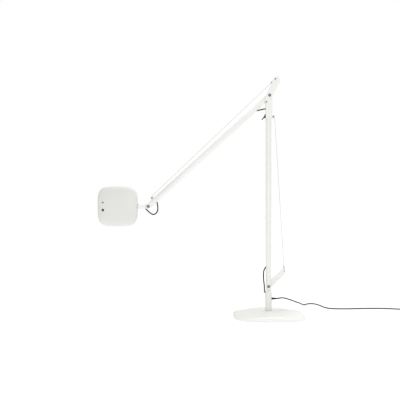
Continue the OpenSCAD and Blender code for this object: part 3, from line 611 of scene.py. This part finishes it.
def spring(name, a, b, body, node):
    """A coil spring stretched between two points, with its ends drawn in to the axis."""
    a, b = a * MM, b * MM
    axis = (b - a).normalized()
    side = axis.orthogonal().normalized()
    up = axis.cross(side)
    steps = int((b - a).length / SPRING_PITCH * SPRING_STEPS)
    coil = []
    for k in range(steps + 1):
        s = k / steps
        ease = min(1, min(s, 1 - s) / SPRING_END)
        ang = 2 * math.pi * k / SPRING_STEPS
        coil.append(a + (b - a) * s + SPRING_R * ease * (math.cos(ang) * side + math.sin(ang) * up))
    place(tube(name, coil, SPRING_WIRE_R, SPRING_SIDES), body, STEEL, (node,))


spring("post_spring_coil", Vector((0, 0, 359.5)), Vector((0, 0, 949)), "post", "post_spring")
spring("arm_spring_coil", ELBOW + arm_dir * 198.5, ELBOW + arm_dir * 694, "arm", "arm_spring")


# ---------------------------------------------------------------- CAD nodes that stay
MERGE_WITHIN = 0.000002


def smoothing_groups():
    """Two node groups: one drops the imported normals and merges split vertices, one smooths by angle."""
    groups = []
    for name, angle in (("tidy_mesh", None), ("smooth_by_angle", SHARP_CAD)):
        g = bpy.data.node_groups.new(name, "GeometryNodeTree")
        g.interface.new_socket("Geometry", in_out="INPUT", socket_type="NodeSocketGeometry")
        g.interface.new_socket("Geometry", in_out="OUTPUT", socket_type="NodeSocketGeometry")
        start, end = g.nodes.new("NodeGroupInput"), g.nodes.new("NodeGroupOutput")
        if angle is None:
            drop = g.nodes.new("GeometryNodeRemoveAttribute")
            drop.inputs["Name"].default_value = "custom_normal"
            merge = g.nodes.new("GeometryNodeMergeByDistance")
            merge.inputs["Distance"].default_value = MERGE_WITHIN
            chain = [start, drop, merge, end]
        else:
            faces = g.nodes.new("GeometryNodeSetShadeSmooth")
            edges = g.nodes.new("GeometryNodeSetShadeSmooth")
            edges.domain = "EDGE"
            bend = g.nodes.new("GeometryNodeInputMeshEdgeAngle")
            less = g.nodes.new("FunctionNodeCompare")
            less.operation = "LESS_THAN"
            less.inputs["B"].default_value = math.radians(angle)
            g.links.new(bend.outputs["Unsigned Angle"], less.inputs["A"])
            g.links.new(less.outputs["Result"], edges.inputs["Shade Smooth"])
            chain = [start, faces, edges, end]
        for one, two in zip(chain, chain[1:]):
            g.links.new(one.outputs[0], two.inputs[0])
        groups.append(g)
    return groups


TIDY, SMOOTH = smoothing_groups()
BEVEL_SEGMENTS, BEVEL_FROM = 3, math.radians(38)
BEVEL_MM = {"column_tube": 0.8, "post_tube": 0.5, "arm_tube": 0.5, "column_head": 1.6, "post_foot": 1.0,
            "post_head": 1.2, "elbow_lever": 0.9, "arm_root": 1.4, "arm_end": 1.0, "neck": 0.9,
            "elbow_bumper": 1.6, "foot_bolt": 0.35, "elbow_bolt": 0.35, "head_bolt": 0.35,
            "foot_nut": 0.4, "elbow_nut": 0.4, "head_nut": 0.4, "tip_pin": 0.4, "lever_pins": 0.4,
            "post_roller_axle": 0.4, "arm_roller_axle": 0.4, "lower_ferrule": 0.4, "upper_ferrule": 0.4,
            "plug_pins": 0.8, "post_roller": 0.25, "arm_roller": 0.25, "anchor_pin": 0.3,
            "thrust_washer": 0.3, "base_pad": 0.8}
TURNED_NODES = ("foot_bolt", "elbow_bolt", "head_bolt", "foot_nut", "elbow_nut", "head_nut", "tip_pin",
                "lever_pins", "post_roller_axle", "arm_roller_axle", "anchor_pin", "plug_pins")
for name, obj in nodes.items():
    if obj.hide_render:
        continue
    obj.data.materials.clear()
    obj.data.materials.append(TURNED if name in TURNED_NODES else LOOK[SLOT_OF[name]])
    obj.modifiers.new("tidy", "NODES").node_group = TIDY
    if name in BEVEL_MM:
        mod = obj.modifiers.new("bevel", "BEVEL")
        mod.width, mod.segments, mod.limit_method = BEVEL_MM[name] * MM, BEVEL_SEGMENTS, "ANGLE"
        mod.angle_limit = BEVEL_FROM
        mod.use_clamp_overlap = True
    obj.modifiers.new("smooth", "NODES").node_group = SMOOTH

# ---------------------------------------------------------------- stage and light
FLOOR_HALF = 60
corners = [(x * FLOOR_HALF, y * FLOOR_HALF, 0) for x, y in ((-1, -1), (1, -1), (1, 1), (-1, 1))]
floor = new_mesh("floor", corners, [(0, 1, 2, 3)])
bpy.context.scene.collection.objects.link(floor)
ground = Graph("floor")
ground_color = ground.ramp(ground.noise(0.6), (0.25, 0.25, 0.25), (0.27, 0.27, 0.27))
ground_rough = ground.range(ground.noise(2), 0.85, 0.9)
ground_bump = ground.bump(ground.noise(200), 0.02, 0.0005)
floor.data.materials.append(ground.finish(ground_color, ground_rough, ground_bump, Specular_IOR_Level=0.1,
                                          Emission_Color=(1, 1, 1, 1), Emission_Strength=0.86))

world = bpy.data.worlds.new("studio")
bpy.context.scene.world = world
world.use_nodes = True
SKY_SEEN, SKY_LIGHT = 1.0, 0.58  # strength where the camera sees it, and as a light
sky = world.node_tree.nodes["Background"]
sky.inputs["Color"].default_value = (1, 1, 1, 1)
light_path = world.node_tree.nodes.new("ShaderNodeLightPath")
level = world.node_tree.nodes.new("ShaderNodeMapRange")
level.inputs["To Min"].default_value, level.inputs["To Max"].default_value = SKY_LIGHT, SKY_SEEN
world.node_tree.links.new(light_path.outputs["Is Camera Ray"], level.inputs["Value"])
world.node_tree.links.new(level.outputs["Result"], sky.inputs["Strength"])


def softbox(name, where, at, size, power):
    """A round soft light, unseen itself, that looks at a point."""
    light = bpy.data.lights.new(name, "AREA")
    light.shape, light.size, light.energy = "DISK", size, power
    obj = bpy.data.objects.new(name, light)
    bpy.context.scene.collection.objects.link(obj)
    obj.location = where
    obj.rotation_euler = (Vector(at) - Vector(where)).to_track_quat("-Z", "Y").to_euler()
    obj.visible_camera = False


softbox("key", (0.1, -3.9, 0.9), (-0.2, 0, 0.55), 1.2, 28)
softbox("top", (0.2, 0.45, 3.6), (0, 0, 0), 2.6, 64)
softbox("back", (1.2, 3.2, 2.0), (-0.2, 0, 0.6), 1.6, 6)
bpy.context.scene.view_settings.view_transform = "Standard"
